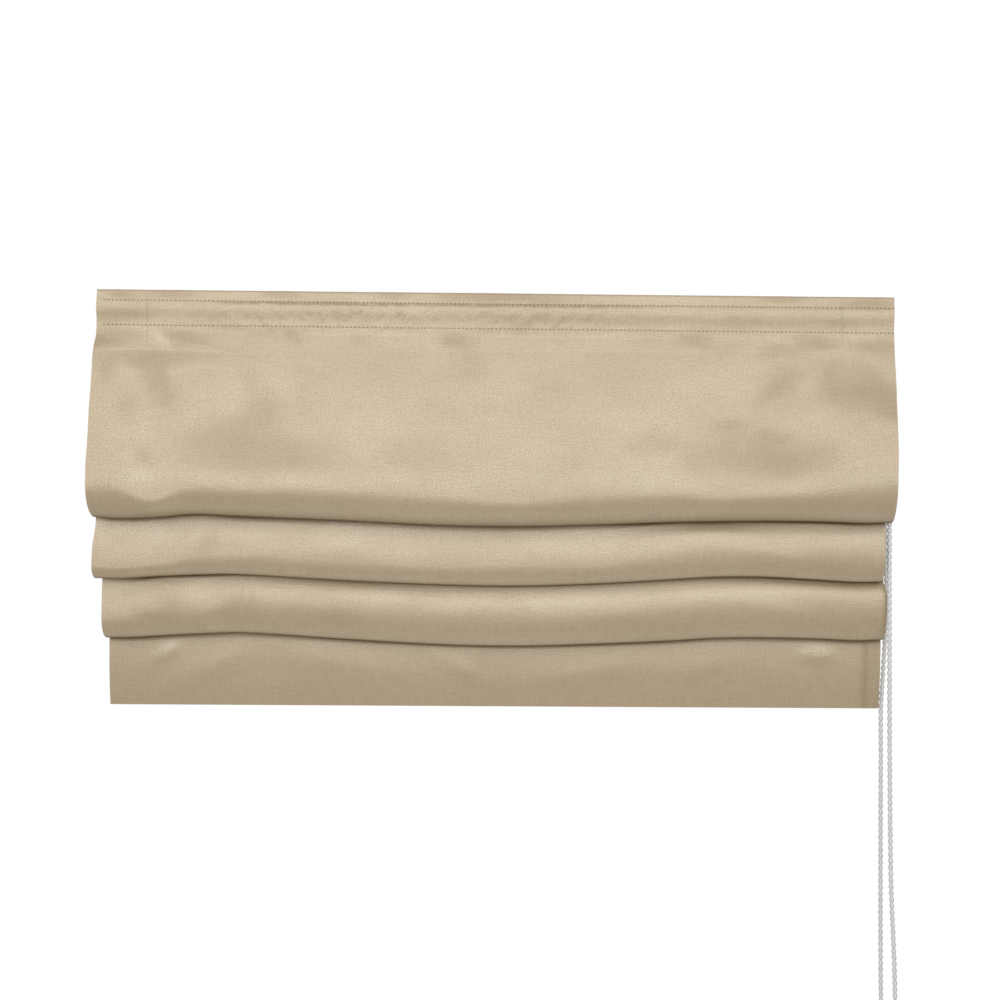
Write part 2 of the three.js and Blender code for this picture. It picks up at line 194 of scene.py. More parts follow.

# Painted shade: places where the satin's sheen is taken down and its colour darkened to stand in
# for the drape's shading. Columns: the layer, from the front panel (0) down to the bottom panel (3),
# then x, drop, half width, half height and how strong (tone), and a turn in degrees where there is
# one.
# A tone below zero is a painted highlight, brighter than the satin round it.
PAINTED_MARKS = [
    dict(layer=0, x=-343, drop=4.3, wide=11, high=3.3, tone=0.8),
    dict(layer=0, x=-294, drop=4.3, wide=18, high=2.9, tone=0.65),
    dict(layer=0, x=-194, drop=3.7, wide=15, high=2.9, tone=0.65),
    dict(layer=0, x=-94, drop=3.6, wide=14, high=2.9, tone=0.6),
    dict(layer=0, x=1, drop=4.0, wide=49, high=3.8, tone=0.85),
    dict(layer=0, x=266, drop=3.2, wide=18, high=2.4, tone=0.7),
    dict(layer=0, x=343, drop=6.1, wide=25, high=4.0, tone=0.8),
    dict(layer=0, x=-343, drop=24.5, wide=26, high=4.8, tone=0.75),
    dict(layer=0, x=-152, drop=23.0, wide=174, high=4.2, turn=0.6, tone=0.4),
    dict(layer=0, x=132, drop=24.2, wide=128, high=4.2, turn=0.6, tone=0.45),
    dict(layer=0, x=297, drop=25.8, wide=73, high=4.2, turn=0.6, tone=0.5),
    dict(layer=0, x=-345, drop=42.0, wide=24, high=5.9, tone=0.75),
    dict(layer=0, x=-279, drop=44.7, wide=22, high=4.6, turn=12, tone=0.75),
    dict(layer=0, x=-218, drop=38.8, wide=13, high=2.7, tone=0.4),
    dict(layer=0, x=-185, drop=41.8, wide=9, high=5.0, turn=42, tone=0.6),
    dict(layer=0, x=-126, drop=45.4, wide=16, high=5.5, tone=0.4),
    dict(layer=0, x=-40, drop=44.1, wide=14, high=6.4, tone=0.8),
    dict(layer=0, x=24, drop=31.3, wide=8, high=4.6, turn=-30, tone=0.5),
    dict(layer=0, x=-343, drop=62.2, wide=27, high=6.8, tone=0.65),
    dict(layer=0, x=-301, drop=63.7, wide=24, high=8.2, tone=0.8),
    dict(layer=0, x=-307, drop=81.4, wide=13, high=13.6, turn=-12, tone=0.8),
    dict(layer=0, x=-268, drop=61.5, wide=18, high=4.6, tone=0.45),
    dict(layer=0, x=-353, drop=74.5, wide=6, high=8.2, tone=0.5),
    dict(layer=0, x=-332, drop=106.6, wide=10, high=9.0, tone=0.35),
    dict(layer=0, x=-315, drop=151.7, wide=8, high=9.0, tone=0.4),
    dict(layer=0, x=-233, drop=143.7, wide=43, high=22.5, tone=0.6),
    dict(layer=0, x=-214, drop=106.3, wide=15, high=19.9, tone=0.45),
    dict(layer=0, x=-223, drop=82.4, wide=8, high=8.2, tone=0.3),
    dict(layer=0, x=-167, drop=152.9, wide=32, high=14.4, tone=0.4),
    dict(layer=0, x=-70, drop=145.7, wide=25, high=11.7, tone=0.3),
    dict(layer=0, x=-168, drop=80.0, wide=13, high=7.3, tone=0.22),
    dict(layer=0, x=-23, drop=70.1, wide=13, high=8.2, tone=0.4),
    dict(layer=0, x=54, drop=85.1, wide=16, high=8.2, tone=0.25),
    dict(layer=0, x=181, drop=41.8, wide=16, high=5.5, turn=5, tone=0.65),
    dict(layer=0, x=208, drop=52.8, wide=14, high=2.7, tone=0.5),
    dict(layer=0, x=259, drop=52.2, wide=18, high=3.1, tone=0.6),
    dict(layer=0, x=296, drop=43.4, wide=19, high=5.9, turn=9, tone=0.8),
    dict(layer=0, x=347, drop=45.7, wide=22, high=6.4, tone=0.75),
    dict(layer=0, x=309, drop=64.8, wide=14, high=8.2, tone=0.65),
    dict(layer=0, x=341, drop=89.6, wide=33, high=16.3, turn=8, tone=1),
    dict(layer=0, x=363, drop=97.6, wide=16, high=13.5, tone=0.9),
    dict(layer=0, x=258, drop=83.9, wide=27, high=9.1, turn=-36, tone=0.65),
    dict(layer=0, x=212, drop=120.3, wide=14, high=7.2, tone=0.5),
    dict(layer=0, x=254, drop=147.8, wide=41, high=15.3, tone=0.75),
    dict(layer=0, x=257, drop=131.6, wide=20, high=5.4, tone=0.5),
    dict(layer=0, x=187, drop=144.9, wide=20, high=13.5, tone=0.38),
    dict(layer=0, x=143, drop=139.0, wide=18, high=9.9, tone=0.28),
    dict(layer=1, x=-262, drop=236.8, wide=8, high=20.2, turn=28, tone=0.4),
    dict(layer=1, x=-148, drop=246.7, wide=28, high=6.4, tone=0.3),
    dict(layer=1, x=321, drop=241.9, wide=28, high=8.3, tone=0.35),
    dict(layer=2, x=-305, drop=291.5, wide=11, high=11.2, tone=0.45),
    dict(layer=2, x=-240, drop=290.9, wide=15, high=10.2, tone=0.4),
    dict(layer=2, x=-144, drop=295.5, wide=20, high=9.3, tone=0.35),
    dict(layer=2, x=191, drop=290.2, wide=37, high=7.4, tone=0.25),
    dict(layer=3, x=351, drop=352.2, wide=4, high=37.9, tone=0.5),
    dict(layer=3, x=-22, drop=356.0, wide=9, high=22.7, turn=35, tone=0.25),
    dict(layer=3, x=-188, drop=371.9, wide=57, high=8.5, tone=0.2),
    dict(layer=0, x=0, drop=171, wide=430, high=8, tone=-0.28),
    dict(layer=0, x=-318, drop=150, wide=16, high=34, tone=-0.2),
    dict(layer=0, x=-272, drop=165, wide=60, high=9, tone=-0.2),
    dict(layer=3, x=-311, drop=332, wide=11, high=5, turn=-35, tone=-0.5),
    dict(layer=3, x=305, drop=330, wide=15, high=7, tone=-0.6),
    dict(layer=3, x=-262, drop=350, wide=40, high=20, tone=-0.2),
    dict(layer=1, x=-272, drop=220, wide=62, high=7, tone=-0.45),
    dict(layer=1, x=120, drop=228, wide=230, high=9, tone=-0.2),
    dict(layer=2, x=180, drop=281, wide=190, high=9, tone=-0.3),
    dict(layer=2, x=-60, drop=288, wide=120, high=8, tone=-0.15),
    dict(layer=2, x=-274, drop=284, wide=14, high=16, tone=-0.4),
    dict(layer=0, x=-322, drop=54.6, wide=34, high=1, tone=-0.5),
    dict(layer=0, x=-268, drop=56.2, wide=42, high=0.9, turn=2, tone=-0.4),
    dict(layer=0, x=150, drop=52, wide=120, high=0.9, tone=-0.25),
    dict(layer=0, x=-60, drop=53.6, wide=70, high=0.9, tone=-0.2),
    dict(layer=0, x=-306, drop=45, wide=11, high=2.6, turn=48, tone=-0.6),
]

# Low bulges of the folds and of the bottom panel: how far each one stands out
BULGES = [
    dict(layer=1, x=-281, drop=236, wide=22, high=5, turn=-62, out=0.5),
    dict(layer=1, x=-205, drop=238, wide=26, high=9, turn=-12, out=0.5),
    dict(layer=1, x=-110, drop=240, wide=40, high=9, turn=8, out=0.35),
    dict(layer=1, x=60, drop=243, wide=60, high=8, turn=-6, out=0.35),
    dict(layer=1, x=258, drop=236, wide=34, high=8, turn=10, out=0.5),
    dict(layer=2, x=-322, drop=292, wide=20, high=8, turn=20, out=0.6),
    dict(layer=2, x=-255, drop=290, wide=22, high=8, turn=-35, out=0.6),
    dict(layer=2, x=-150, drop=294, wide=40, high=8, turn=8, out=0.4),
    dict(layer=2, x=110, drop=297, wide=60, high=8, turn=-6, out=0.35),
    dict(layer=2, x=270, drop=292, wide=30, high=8, turn=12, out=0.5),
    dict(layer=3, x=-311, drop=335, wide=12, high=6, turn=-38, out=1.2),
    dict(layer=3, x=305, drop=335, wide=15, high=8, turn=4, out=1.1),
    dict(layer=3, x=-268, drop=350, wide=44, high=12, turn=-28, out=0.8),
    dict(layer=3, x=-150, drop=344, wide=60, high=12, turn=10, out=0.5),
    dict(layer=3, x=-28, drop=352, wide=26, high=8, turn=28, out=0.7),
    dict(layer=3, x=70, drop=356, wide=80, high=12, turn=-8, out=0.6),
    dict(layer=3, x=190, drop=348, wide=46, high=12, turn=-14, out=0.5),
    dict(layer=3, x=0, drop=370, wide=600, high=22, out=0.6),
]

# How much a painted mark of tone 1 takes away, how sharply a mark ends, and the waves of its edge
MARK_STRENGTH = 0.92
MARK_FALL = 0.55
MARK_WAVES = [
    dict(size=0.16, across=15, down=9),
    dict(size=0.08, across=7, down=-11),
]

# The painted shade: how far its dark line reaches up inside a fold and down below it, where it starts
# below, how far up a hidden layer is painted dark, and the weaker painted shade lines at the cloth's
# top edge and at the bottom panel's right hem
SHADE_INSIDE = 1.7
SHADE_BELOW = 2.8
SHADE_START = 0.2
HIDDEN_DARK = (6, 18)
TOP_EDGE_SHADE = dict(reach=2, dark=0.45)
HEM_SHADE = dict(x=350, reach=2.6, dark=0.22)

# The chain's route, in metres: x, depth behind the heading's face and drop below the cloth's top
CHAIN_ROUTE = [
    dict(x=0.365, depth=0.0261, drop=0.007),
    dict(x=0.365, depth=0.02, drop=0.0084),
    dict(x=0.365, depth=0.015, drop=0.0119),
    dict(x=0.365, depth=0.0117, drop=0.017),
    dict(x=0.365, depth=0.0105, drop=0.023),
    dict(x=0.365, depth=0.0105, drop=0.06),
    dict(x=0.3651, depth=0.0105, drop=0.13),
    dict(x=0.3654, depth=0.0105, drop=0.21),
    dict(x=0.366, depth=0.0105, drop=0.29),
    dict(x=0.3668, depth=0.0105, drop=0.38),
    dict(x=0.3678, depth=0.0105, drop=0.46),
    dict(x=0.3696, depth=0.0107, drop=0.545),
    dict(x=0.3734, depth=0.0112, drop=0.62),
    dict(x=0.3752, depth=0.0128, drop=0.68),
    dict(x=0.3748, depth=0.0154, drop=0.73),
    dict(x=0.374, depth=0.0186, drop=0.738),
    dict(x=0.3726, depth=0.0264, drop=0.7414),
    dict(x=0.3712, depth=0.0342, drop=0.738),
    dict(x=0.3704, depth=0.0374, drop=0.73),
    dict(x=0.3698, depth=0.04, drop=0.68),
    dict(x=0.3692, depth=0.0418, drop=0.61),
    dict(x=0.3687, depth=0.0425, drop=0.52),
    dict(x=0.3683, depth=0.0425, drop=0.44),
    dict(x=0.368, depth=0.0425, drop=0.385),
    dict(x=0.3698, depth=0.0425, drop=0.35),
    dict(x=0.3715, depth=0.0425, drop=0.31),
    dict(x=0.3716, depth=0.0425, drop=0.24),
    dict(x=0.369, depth=0.0425, drop=0.15),
    dict(x=0.366, depth=0.0425, drop=0.075),
    dict(x=0.365, depth=0.0425, drop=0.023),
    dict(x=0.365, depth=0.0413, drop=0.017),
    dict(x=0.365, depth=0.038, drop=0.0119),
    dict(x=0.365, depth=0.033, drop=0.0084),
    dict(x=0.365, depth=0.0269, drop=0.007),
]
CURVE_STEPS = 40
BEAD_COUNT = 250
BEAD_RADIUS = 2.25 * MM
BEAD_SIDES = 14
BEAD_RINGS = 8

# A bead's length against its width, and how full it is: 1 is a ball, less is closer to a barrel
BEAD_STRETCH = 1.15
BEAD_FULLNESS = 0.55
BEAD_TIP = 0.03
LINK_RADIUS = 1.5 * MM
LINK_SIDES = 8
LINKS_PER_BEAD = 3

# The two stitched rows: each one's drop in the middle of the cloth and how much it falls along x
STITCH_ROWS = [
    dict(middle=9.9, fall=0.0009),
    dict(middle=32.7, fall=0.0012),
]
STITCH_PITCH = 3.8
STITCH_GAP = 1
STITCH_START = -358
STITCH_END = 364.5

# The thread: its radius, the share of it at its ends, its bow out of the cloth and how deep it lies
THREAD_RADIUS = 0.3
THREAD_END = 0.55
THREAD_BOW = 0.2
THREAD_SINK = 0.15
THREAD_SIDES = 6
THREAD_STOPS = 6

# Where the inner edges of the side hems show on the front, and how wide and how far down
HEM_LINES = (-319, 317)
HEM_LINE_WIDTH = (0.2, 1.3)
HEM_LINE_TOP = (6, 10)
HEM_LINE_END = (25, 60)

# A needle hole's edge, as distances from its middle
HOLE_EDGE = (0.35, 0.95)

# The small puckers that the stitched rows draw in: two slanting noises and the area they fill
PUCKERS = [
    dict(turn=-42, scale=150, detail=2, stretch=0.42),
    dict(turn=35, scale=120, detail=1, stretch=0.5),
]
PUCKER_TOP = (9, 14)
PUCKER_BOTTOM = (30, 42)
PUCKER_LEFT = (-290, -230)
PUCKER_RIGHT = (50, 200)
PUCKER_RIGHT_SHARE = 0.35

# The satin's plain colours, then what darkens them: the share at its strongest and the colour. The
# rows for the painted marks and for the shade are painted shade; the others are the satin's own
# colour.
SATIN_PLAIN = ((0.417, 0.32, 0.197, 1), (0.449, 0.344, 0.215, 1))
SATIN_TINTS = [
    dict(cause="threads", share=0.48, color=(0.32, 0.24, 0.145, 1)),
    dict(cause="specks", share=0.16, color=(0.26, 0.195, 0.12, 1)),
    dict(cause="painted_light", share=0.16, color=(0.29, 0.225, 0.14, 1)),
    dict(cause="hem", share=0.3, color=(0.16, 0.125, 0.08, 1)),
    dict(cause="holes", share=0.74, color=(0.06, 0.045, 0.03, 1)),
    dict(cause="shade", share=0.92, color=(0.085, 0.042, 0.004, 1)),
]

# How much each part of the satin's relief stands out, and the relief's height in metres
SATIN_RELIEF = dict(grain=0.6, warp=0.2, weft=0.2, holes=-0.8, puckers=3.0, hem=-0.3)
SATIN_RELIEF_HEIGHT = 0.0003

# The satin's sheen: its range from speck to speck and from place to place, and how much the painted
# marks and the painted shade take away
SPECK_SHEEN = (0.41, 0.99)
SLOW_SHEEN = (0.86, 1.08)
PAINTED_LIGHT_SHEEN_LOSS = 0.64
SHADE_SHEEN_LOSS = 1.0

# Edges that turn by more than this, in degrees, stay sharp
SHARP_TURN = 50

# How much of the white surroundings lights the shade
AMBIENT = 0.36

# The soft lights: degrees to the right of the front and above it, then metres and watts
LIGHTS = [
    dict(name="key", azimuth=-3, elevation=19.5, distance=1.6, width=3.2, height=1.75, power=30.5),
    dict(name="behind", azimuth=180, elevation=16, distance=1.8, width=3, height=1.6, power=16),
]

# The floor's disc, in metres
FLOOR = dict(radius=0.9, sides=96, height=-1.1)


def place(x, depth, drop):
    """A place in the row's frame, in metres, from x, depth and drop in millimetres."""
    return Vector((x, depth - WALL_DEPTH, RAIL_HEIGHT / 2 - drop)) * MM


def smooth_step(low, high, value):
    """0 up to low, 1 from high, and a soft step between."""
    t = np.clip((value - low) / (high - low), 0, 1)
    return t * t * (3 - 2 * t)


# Camera and view
def make_camera():
    """The camera at its fitted place, level but for its small turn and roll."""
    camera = bpy.data.cameras.new("camera")
    camera.sensor_width = CAMERA_SENSOR
    camera.lens = CAMERA_LENS
    camera.shift_x, camera.shift_y = CAMERA_SHIFT
    camera.clip_start = 0.01
    camera.clip_end = 50
    yaw = math.radians(CAMERA_YAW)
    roll = math.radians(CAMERA_ROLL)
    ahead = Vector((math.sin(yaw), math.cos(yaw), 0))
    level = Vector((math.cos(yaw), -math.sin(yaw), 0))
    up = Vector((0, 0, 1))
    right = level * math.cos(roll) + up * math.sin(roll)
    top = up * math.cos(roll) - level * math.sin(roll)
    holder = bpy.data.objects.new("camera", camera)
    turn = Matrix((right, top, -ahead)).transposed().to_4x4()
    holder.matrix_world = Matrix.Translation(CAMERA_PLACE) @ turn
    bpy.context.scene.collection.objects.link(holder)
    bpy.context.scene.camera = holder


# Meshes
def make_piece(name, points, faces, material):
    """A smooth mesh from points in metres and faces, on the root body."""
    mesh = bpy.data.meshes.new(name)
    mesh.from_pydata(points, [], faces)
    mesh.materials.append(material)
    mesh.polygons.foreach_set("use_smooth", [True] * len(mesh.polygons))
    mesh.set_sharp_from_angle(angle=math.radians(SHARP_TURN))
    mesh.update()
    piece = bpy.data.objects.new(name, mesh)
    bpy.context.scene.collection.objects.link(piece)
    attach(piece, "root")
    return piece


def station_curve(column, x):
    """One column of the stations at every x, on a smooth curve through the rows."""
    places = np.array([row["x"] for row in STATIONS], float)
    values = np.array([row[column] for row in STATIONS], float)
    low = np.maximum(np.arange(len(places)) - 1, 0)
    high = np.minimum(np.arange(len(places)) + 1, len(places) - 1)
    slopes = (values[high] - values[low]) / (places[high] - places[low])
    row = np.clip(np.searchsorted(places, x) - 1, 0, len(places) - 2)
    span = places[row + 1] - places[row]
    t = np.clip((x - places[row]) / span, 0, 1)
    t2 = t * t
    t3 = t2 * t
    start = (2 * t3 - 3 * t2 + 1) * values[row] + (t3 - 2 * t2 + t) * span * slopes[row]
    end = (3 * t2 - 2 * t3) * values[row + 1] + (t3 - t2) * span * slopes[row + 1]
    return start + end


def section_knots(x):
    """The knots of every section, from the top edge to the bottom one.

    Each has its place, the cloth's way, the rows up to the next knot and the slip sideways. A seen
    one has its layer, and a hidden one its fold's bottom.
    """
    down, up, back = (0, 1), (0, -1), (1, 0)
    knots = []

    def add(depth, drop, way, steps, shift, layer, bottom=None):
        """Adds one knot, at the same depth or drop all across where that is a number."""
        at = np.stack(np.broadcast_arrays(depth, drop * np.ones_like(x)), -1).astype(float)
        way = np.array(way, float)
        knots.append(dict(at=at, way=way, steps=steps, shift=shift, layer=layer, bottom=bottom))

    for row in FRONT_PANEL:
        size = math.hypot(row["lean"], 1)
        way = (row["lean"] / size, 1 / size)
        add(row["depth"], row["drop"], way, row["steps"], 0, 0)
    for index, fold in enumerate(FOLDS):
        bottom = station_curve(fold["name"], x)
        rise = station_curve(f"rise{index + 1}", x)
        turn_top = bottom - fold["turn_rise"]
        turn_end = turn_top + TURN_RADIUS
        shift = fold["shift"]
        turned = fold["turn_shift"]
        leg = fold["leg"]
        add(fold["belly"], bottom - rise, down, BELLY_STEPS, shift, index)
        add(fold["bottom_depth"], bottom, back, BOTTOM_STEPS, shift, index)
        add(fold["back"], bottom - fold["back_rise"], up, HIDDEN_STEPS, shift, None, bottom)
        add(leg, turn_end, up, HIDDEN_STEPS, turned, None, bottom)
        add(leg + TURN_RADIUS, turn_top, back, HIDDEN_STEPS, turned, None, bottom)
        add(leg + 2 * TURN_RADIUS, turn_end, down, TURN_STEPS, turned, None, bottom)
        passing = PANEL_STEPS if index == len(FOLDS) - 1 else PASS_STEPS
        add(fold["next_leg"], bottom - fold["pass_rise"], down, passing, turned, index + 1)
    add(HEM_EDGE["depth"], HEM_EDGE["drop"], HEM_WAY, 0, HEM_EDGE["shift"], None)
    return knots


def reach_in_row(row, x, drop):
    """How far a place is along and athwart a table's row, in its half widths and half heights."""
    turn = math.radians(row.get("turn", 0))
    across = x - row["x"]
    down = drop - row["drop"]
    along = (across * math.cos(turn) + down * math.sin(turn)) / row["wide"]
    athwart = (down * math.cos(turn) - across * math.sin(turn)) / row["high"]
    return along, athwart


def slope_depth(table, x, drop, is_swell):
    """How far back the cloth lies where the rows of a table lean it."""
    depth = np.zeros_like(drop)
    for row in table:
        along, athwart = reach_in_row(row, x, drop)
        fallen = (1 + np.tanh(SLOPE_SHARPNESS * athwart)) / 2
        if is_swell:
            shape = (fallen - 1) * smooth_step(-3.2, -0.8, athwart)
        else:
            shape = fallen * (1 - smooth_step(1.2, 5, athwart))
        depth += SLOPE_GAIN * row["slope"] * row["high"] * shape * np.exp(-(along**2))
    return depth


def painted_light_tone(layer, x, drop):
    """How much painted shade a place of one layer has: up to 1, and below 0 where a painted highlight
    makes it brighter.
    """
    bright = np.ones_like(drop)
    uneven = np.ones_like(drop)
    for wave in MARK_WAVES:
        uneven += wave["size"] * np.sin(x / wave["across"] + drop / wave["down"])
    for row in PAINTED_MARKS:
        if row["layer"] == layer:
            along, athwart = reach_in_row(row, x, drop)
            reach = np.hypot(along, athwart) * uneven
            bright *= 1 - MARK_STRENGTH * row["tone"] * np.exp(-MARK_FALL * reach**3)
    return 1 - bright


def bulge_depth(layer, x, drop):
    """How far the bulges of one layer stand forward, as a negative depth."""
    depth = np.zeros_like(drop)
    for row in BULGES:
        if row["layer"] == layer:
            along, athwart = reach_in_row(row, x, drop)
            depth -= row["out"] * np.exp(-(along**2) - athwart**2)
    return depth


def heading_ridge(x, drop):
    """The low ridge between the two stitched rows, as a negative depth."""
    at_left = RIDGE_LEFT["height"] * (1 - smooth_step(*RIDGE_LEFT["end"], x))
    height = RIDGE["height"] + at_left + RIDGE["wave"] * np.sin(x / RIDGE["wave_length"])
    reach = np.where(drop < RIDGE["drop"], RIDGE["above"], RIDGE["below"])
    return -height * np.exp(-(((drop - RIDGE["drop"]) / reach) ** 2))


def side_bulge(x, drop):
    """How far the left side stands out below the heading, as a negative depth."""
    out = smooth_step(*SIDE_BULGE["start"], drop) * (1 - smooth_step(*SIDE_BULGE["end"], drop))
    inward = (x + CLOTH_WIDTH / 2) / SIDE_BULGE["reach"]
    return -SIDE_BULGE["out"] * np.exp(-(inward**2)) * out


def panel_depth(x, drop):
    """Everything that moves the front panel's face off its smooth section."""
    dents = slope_depth(DENTS, x, drop, False) * (1 - smooth_step(*DENTS_END, drop))
    swells = slope_depth(SWELLS, x, drop, True)
    return dents + swells + heading_ridge(x, drop) + side_bulge(x, drop)


def crevice_shade(knot, bottoms, x, drop):
    """How dark a place is for want of light: most so at a fold's bottom and close below it."""
    layer = knot["layer"]
    if layer is None:
        return 1 - smooth_step(*HIDDEN_DARK, knot["bottom"] - drop)
    shade = np.zeros_like(drop)
    if layer < len(bottoms):
        reach = SHADE_INSIDE * FOLDS[layer]["shade_scale"]
        shade = 1 - smooth_step(0, reach, bottoms[layer] - drop)
    if layer == 0:
        edge = 1 - smooth_step(0, TOP_EDGE_SHADE["reach"], drop)
        shade = np.maximum(shade, TOP_EDGE_SHADE["dark"] * edge)
    if layer == len(bottoms):
        off_hem = (x - HEM_SHADE["x"]) / HEM_SHADE["reach"]
        shade = np.maximum(shade, HEM_SHADE["dark"] * np.exp(-(off_hem**2)))
    if layer > 0:
        reach = SHADE_BELOW * FOLDS[layer - 1]["shade_scale"]
        shade = np.maximum(shade, 1 - smooth_step(SHADE_START, reach, drop - bottoms[layer - 1]))
    return shade


def section_rows(x):
    """Every row of the cloth at every x: places, back normals, slips, length so far and tones."""
    knots = section_knots(x)
    places, normals, shifts, painted_lights, shades = [], [], [], [], []
    bottoms = [station_curve(fold["name"], x) for fold in FOLDS]
    for index, (knot, following) in enumerate(zip(knots, knots[1:])):
        chord = following["at"] - knot["at"]
        leave = np.abs(chord @ knot["way"])[:, None] * ROUND_HANDLE * knot["way"]
        arrive = np.abs(chord @ following["way"])[:, None] * ROUND_HANDLE * following["way"]
        handles = (knot["at"], knot["at"] + leave, following["at"] - arrive, following["at"])
        is_last = index == len(knots) - 2
        for step in range(knot["steps"] + is_last):
            t = step / knot["steps"]
            s = 1 - t
            at = sum(w * p for w, p in zip((s**3, 3 * s * s * t, 3 * s * t * t, t**3), handles))
            ways = (handles[1] - handles[0], handles[2] - handles[1], handles[3] - handles[2])
            tangent = sum(w * p for w, p in zip((s * s, 2 * s * t, t * t), ways))
            tangent /= np.linalg.norm(tangent, axis=1)[:, None]
            if knot["layer"] == 0:
                at[:, 0] += panel_depth(x, at[:, 1])
            elif knot["layer"] is not None:
                at[:, 0] += bulge_depth(knot["layer"], x, at[:, 1])
            places.append(at)
            normals.append(np.stack((tangent[:, 1], -tangent[:, 0]), -1))
            slip = smooth_step(0, 1, t)
            shifts.append(knot["shift"] * (1 - slip) + following["shift"] * slip)
            painted_lights.append(painted_light_tone(knot["layer"], x, at[:, 1]))
            shades.append(crevice_shade(knot, bottoms, x, at[:, 1]))
    places = np.array(places)
    steps = np.linalg.norm(np.diff(places, axis=0), axis=2)
    travelled = np.vstack((np.zeros_like(x), np.cumsum(steps, axis=0)))
    return places, np.array(normals), np.array(shifts), travelled, np.array(painted_lights), np.array(shades)


def cloth_columns():
    """x of every column, from the left side to the right."""
    stretches = []
    start = -CLOTH_WIDTH / 2
    for row in COLUMNS:
        is_last = row is COLUMNS[-1]
        stretches.append(np.linspace(start, row["end"], row["count"], endpoint=is_last))
        start = row["end"]
    return np.concatenate(stretches)


def cloth_thickness(x, travelled):
    """The cloth is thicker where it is turned under."""
    length = travelled[-1]
    heading = 1 - smooth_step(HEADING_DROP, HEADING_DROP + HEM_STEP, travelled)
    edge = CLOTH_WIDTH / 2 - SIDE_HEM
    side = np.broadcast_to(smooth_step(edge - HEM_STEP, edge, np.abs(x)), travelled.shape)
    bottom = smooth_step(length - BOTTOM_HEM - HEM_STEP, length - BOTTOM_HEM, travelled)
    turned = np.maximum(np.maximum(heading, side), bottom)
    return CLOTH_THICKNESS + (HEM_THICKNESS - CLOTH_THICKNESS) * turned


def make_cloth(material):
    """The cloth, closed, with x and the length from the top edge as its UV, in metres."""
    x = cloth_columns()
    places, normals, shifts, travelled, painted_lights, shades = section_rows(x)
    rows, columns = travelled.shape
    rear = places + normals * cloth_thickness(x, travelled)[:, :, None]
    points = []
    for side in (places, rear):
        across = x + shifts[:, None]
        grid = np.stack((across, side[:, :, 0] - WALL_DEPTH, RAIL_HEIGHT / 2 - side[:, :, 1]), -1)
        points.append(grid.reshape(-1, 3) * MM)
    points = np.concatenate(points)
    index = np.arange(rows * columns).reshape(rows, columns)
    behind = index + rows * columns

    def quads(a, b, c, d):
        """Faces from four grids of corners."""
        return np.stack((a.ravel(), b.ravel(), c.ravel(), d.ravel()), -1)

    faces = np.concatenate((
        quads(index[:-1, :-1], index[1:, :-1], index[1:, 1:], index[:-1, 1:]),
        quads(behind[:-1, :-1], behind[:-1, 1:], behind[1:, 1:], behind[1:, :-1]),
        quads(index[0, :-1], index[0, 1:], behind[0, 1:], behind[0, :-1]),
        quads(index[-1, 1:], index[-1, :-1], behind[-1, :-1], behind[-1, 1:]),
        quads(index[1:, 0], index[:-1, 0], behind[:-1, 0], behind[1:, 0]),
        quads(index[:-1, -1], index[1:, -1], behind[1:, -1], behind[:-1, -1]),
    ))
    cloth = make_piece("satin_cloth", points.tolist(), faces.tolist(), material)
    flat = np.stack((np.broadcast_to(x, travelled.shape), travelled), -1).reshape(-1, 2) * MM
    flat = np.concatenate((flat, flat))
    layer = cloth.data.uv_layers.new(name="flat")
    layer.data.foreach_set("uv", flat[faces.ravel()].ravel())
    # The painted marks (on both sides) and the painted shade (on the face only) are stored on the mesh
    # as attributes
    for name, face, back in (("painted_light", painted_lights, painted_lights), ("shade", shades, 0 * shades)):
        tone = cloth.data.attributes.new(name, "FLOAT", "POINT")
        tone.data.foreach_set("value", np.concatenate((face.ravel(), back.ravel())))
    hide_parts("shade_cloth")
    return cloth, float(travelled[-1].mean()) * MM


def make_stitches(material):
    """Two rows of short threads, each one bowed out of the cloth between its two needle holes."""
    sides = THREAD_SIDES
    stops = THREAD_STOPS
    count = int((STITCH_END - STITCH_START) / STITCH_PITCH)
    row, stitch, stop, side = np.meshgrid(
        np.arange(len(STITCH_ROWS)), np.arange(count), np.arange(stops + 1), np.arange(sides),
        indexing="ij",
    )
    t = stop / stops
    bow = np.sin(np.pi * t)
    radius = THREAD_RADIUS * (THREAD_END + (1 - THREAD_END) * bow)
    angle = 2 * np.pi * side / sides
    x = STITCH_START + stitch * STITCH_PITCH + STITCH_GAP / 2 + t * (STITCH_PITCH - STITCH_GAP)
    middle = np.array([line["middle"] for line in STITCH_ROWS])[row]
    fall = np.array([line["fall"] for line in STITCH_ROWS])[row]
    down = middle + fall * x + radius * np.sin(angle)
    depth = panel_depth(x, down) - THREAD_BOW * bow + THREAD_SINK - radius * np.cos(angle)
    points = np.stack((x, depth - WALL_DEPTH, RAIL_HEIGHT / 2 - down), -1).reshape(-1, 3) * MM
    index = np.arange(len(points)).reshape(-1, stops + 1, sides)
    turned = np.roll(index, -1, axis=2)
    walls = np.stack((index[:, :-1], turned[:, :-1], turned[:, 1:], index[:, 1:]), -1).reshape(-1, 4)
    ends = index[:, 0, ::-1].tolist() + index[:, -1].tolist()
    stitches = make_piece("heading_stitches", points.tolist(), walls.tolist() + ends, material)
    return stitches


